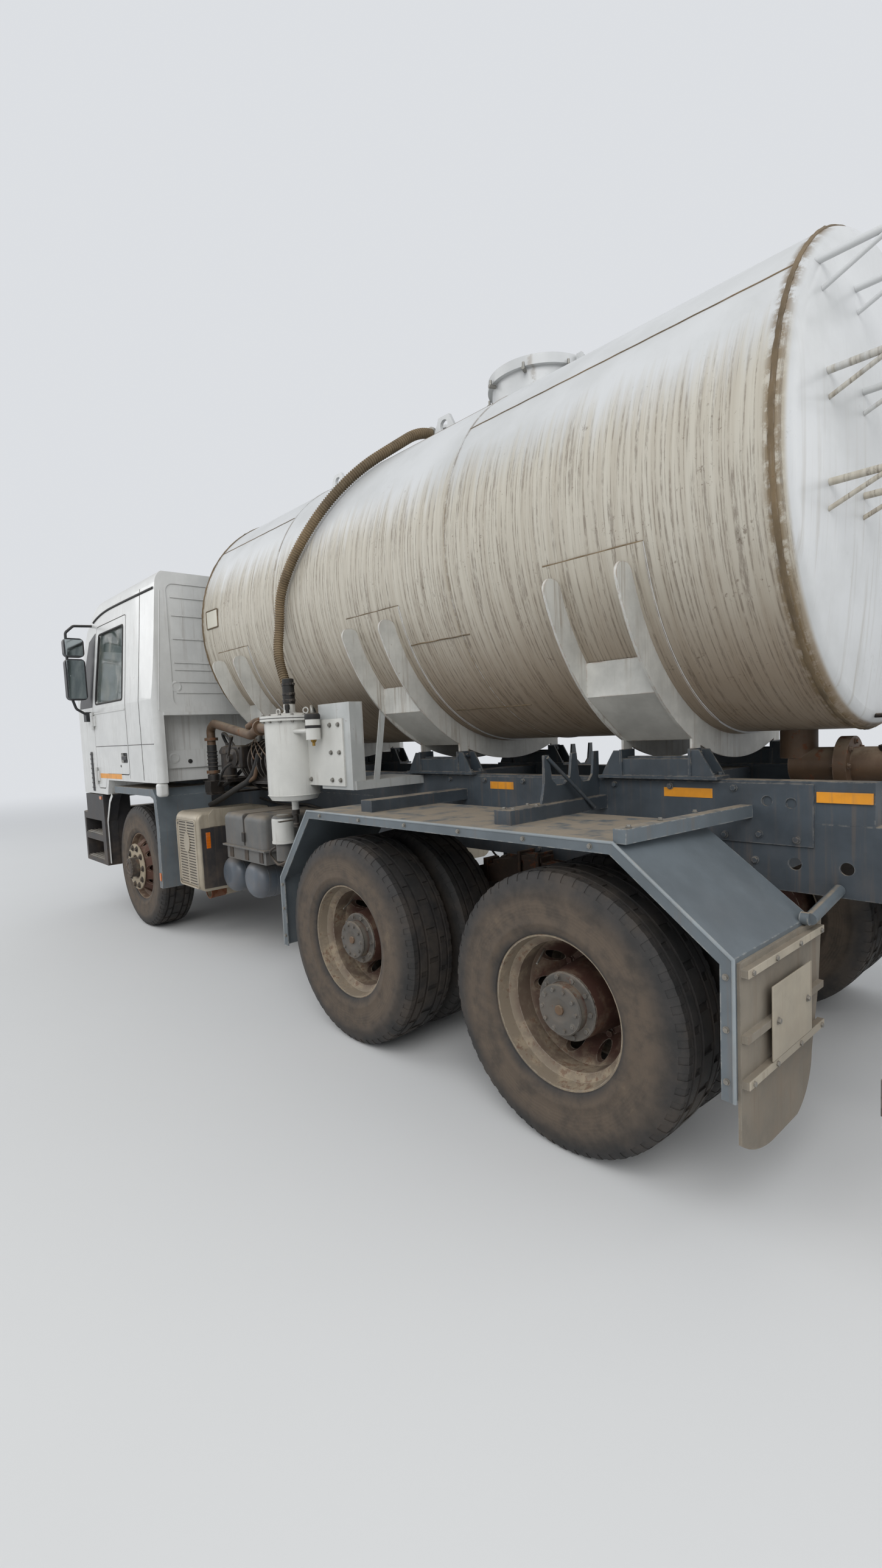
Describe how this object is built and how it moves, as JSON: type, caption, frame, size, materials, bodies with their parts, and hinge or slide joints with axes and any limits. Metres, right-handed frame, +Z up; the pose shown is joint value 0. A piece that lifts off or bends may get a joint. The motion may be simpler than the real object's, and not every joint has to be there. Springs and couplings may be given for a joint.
{
  "type": "vacuum tanker truck",
  "caption": "Three-axle vacuum tanker truck: round saddle-mounted tank with manhole, suction hose and moisture trap, twin rear axles, long tilting cab with opening doors and steered front wheels.",
  "frame": {"origin": "on the ground under the middle of the truck's length and width", "axes": "+X forward, +Y to the truck's left, +Z up"},
  "size_m": [7.2, 2.862, 3.5361],
  "materials": {
    "cab_paint": "weathered gloss",
    "black_plastic": "textured",
    "tank_paint": "weathered satin",
    "saddle_paint": "weathered satin",
    "chassis_paint": "weathered satin",
    "spring_steel": "rusted",
    "axle_iron": "oily",
    "fender_paint": "weathered satin",
    "trap_paint": "weathered satin",
    "pump_iron": "oily",
    "pipe_steel": "rusted",
    "hose_rubber": "ribbed",
    "box_metal": "satin",
    "reservoir_paint": "satin",
    "lamp_lens": "clear",
    "window_glass": "clear",
    "seat_fabric": "woven",
    "dash_plastic": "grained",
    "tyre_rubber": "dusty",
    "front_rim_paint": "dusty",
    "rear_rim_paint": "dusty"
  },
  "bodies": {
    "chassis": {"ladder_frame": "chassis_paint", "tank_subframe": "chassis_paint", "tank_shell": "tank_paint", "tank_saddles": "saddle_paint", "tank_fittings": "tank_paint", "manhole_neck": "tank_paint", "outlet_valve": "pipe_steel", "suction_hose": "hose_rubber", "moisture_trap": "trap_paint", "trap_bracket": "chassis_paint", "vacuum_pump": "pump_iron", "pump_pipes": "pipe_steel", "left_fender": "fender_paint", "right_fender": "fender_paint", "mud_flaps": "black_plastic", "front_axle_beam": "axle_iron", "front_springs": "chassis_paint", "rear_suspension": "spring_steel", "rear_axles": "axle_iron", "engine_block": "axle_iron", "drive_shafts": "axle_iron", "front_mudguards": "fender_paint", "silencer_box": "box_metal", "air_reservoirs": "reservoir_paint", "battery_box": "black_plastic", "fuel_tank": "box_metal", "front_bumper": "black_plastic", "lamps": "lamp_lens", "rear_bar": "chassis_paint"},
    "cab": {"cab_shell": "cab_paint", "cab_glass": "window_glass", "sun_visor": "black_plastic", "mirrors": "black_plastic", "dashboard": "dash_plastic", "seats": "seat_fabric", "sleeper_bunk": "seat_fabric"},
    "left_door": {"left_door": "cab_paint", "left_door_glass": "window_glass"},
    "right_door": {"right_door": "cab_paint", "right_door_glass": "window_glass"},
    "manhole_lid": {"manhole_lid": "tank_paint"},
    "left_knuckle": {"left_knuckle": "axle_iron"},
    "right_knuckle": {"right_knuckle": "axle_iron"},
    "track_rod": {"track_rod": "axle_iron"},
    "front_left_wheel": {"front_left_tyre": "tyre_rubber", "front_left_rim": "front_rim_paint"},
    "front_right_wheel": {"front_right_tyre": "tyre_rubber", "front_right_rim": "front_rim_paint"},
    "drive_left_wheels": {"drive_left_tyres": "tyre_rubber", "drive_left_rims": "rear_rim_paint"},
    "drive_right_wheels": {"drive_right_tyres": "tyre_rubber", "drive_right_rims": "rear_rim_paint"},
    "rear_left_wheels": {"rear_left_tyres": "tyre_rubber", "rear_left_rims": "rear_rim_paint"},
    "rear_right_wheels": {"rear_right_tyres": "tyre_rubber", "rear_right_rims": "rear_rim_paint"}
  },
  "joints": [
    {"name": "cab_tilt", "type": "hinge", "parent": "chassis", "child": "cab", "pos_m": [3.435, 0, 1.06], "axis": [0, 1, 0], "range_deg": [0, 60]},
    {"name": "left_door_hinge", "type": "hinge", "parent": "cab", "child": "left_door", "pos_m": [2.846, 1.256, 1.585], "axis": [0, 0, -1], "range_deg": [0, 70]},
    {"name": "right_door_hinge", "type": "hinge", "parent": "cab", "child": "right_door", "pos_m": [2.846, -1.256, 1.585], "axis": [0, 0, 1], "range_deg": [0, 70]},
    {"name": "manhole_lid_hinge", "type": "hinge", "parent": "chassis", "child": "manhole_lid", "pos_m": [-1.875, 0, 3.518], "axis": [0, -1, 0], "range_deg": [0, 110]},
    {"name": "left_steer", "type": "hinge", "parent": "chassis", "child": "left_knuckle", "pos_m": [2.15, 0.88, 0.535], "axis": [0, 0, 1], "range_deg": [-35, 35]},
    {"name": "right_steer", "type": "hinge", "parent": "chassis", "child": "right_knuckle", "pos_m": [2.15, -0.88, 0.535], "axis": [0, 0, 1], "range_deg": [-35, 35]},
    {"name": "track_rod_pin", "type": "hinge", "parent": "left_knuckle", "child": "track_rod", "pos_m": [1.97, 0.88, 0.4087], "axis": [0, 0, 1], "range_deg": [-35, 35]},
    {"name": "front_left_spin", "type": "hinge", "parent": "left_knuckle", "child": "front_left_wheel", "pos_m": [2.15, 1.01, 0.535], "axis": [0, 1, 0], "continuous": true},
    {"name": "front_right_spin", "type": "hinge", "parent": "right_knuckle", "child": "front_right_wheel", "pos_m": [2.15, -1.01, 0.535], "axis": [0, 1, 0], "continuous": true},
    {"name": "drive_left_spin", "type": "hinge", "parent": "chassis", "child": "drive_left_wheels", "pos_m": [-1.15, 0.9205, 0.535], "axis": [0, 1, 0], "continuous": true},
    {"name": "drive_right_spin", "type": "hinge", "parent": "chassis", "child": "drive_right_wheels", "pos_m": [-1.15, -0.9205, 0.535], "axis": [0, 1, 0], "continuous": true},
    {"name": "rear_left_spin", "type": "hinge", "parent": "chassis", "child": "rear_left_wheels", "pos_m": [-2.5, 0.9205, 0.535], "axis": [0, 1, 0], "continuous": true},
    {"name": "rear_right_spin", "type": "hinge", "parent": "chassis", "child": "rear_right_wheels", "pos_m": [-2.5, -0.9205, 0.535], "axis": [0, 1, 0], "continuous": true}
  ],
  "couplings": [
    {"joint": "right_steer", "follows": "left_steer", "ratio": 1},
    {"joint": "track_rod_pin", "follows": "left_steer", "ratio": -1}
  ]
}
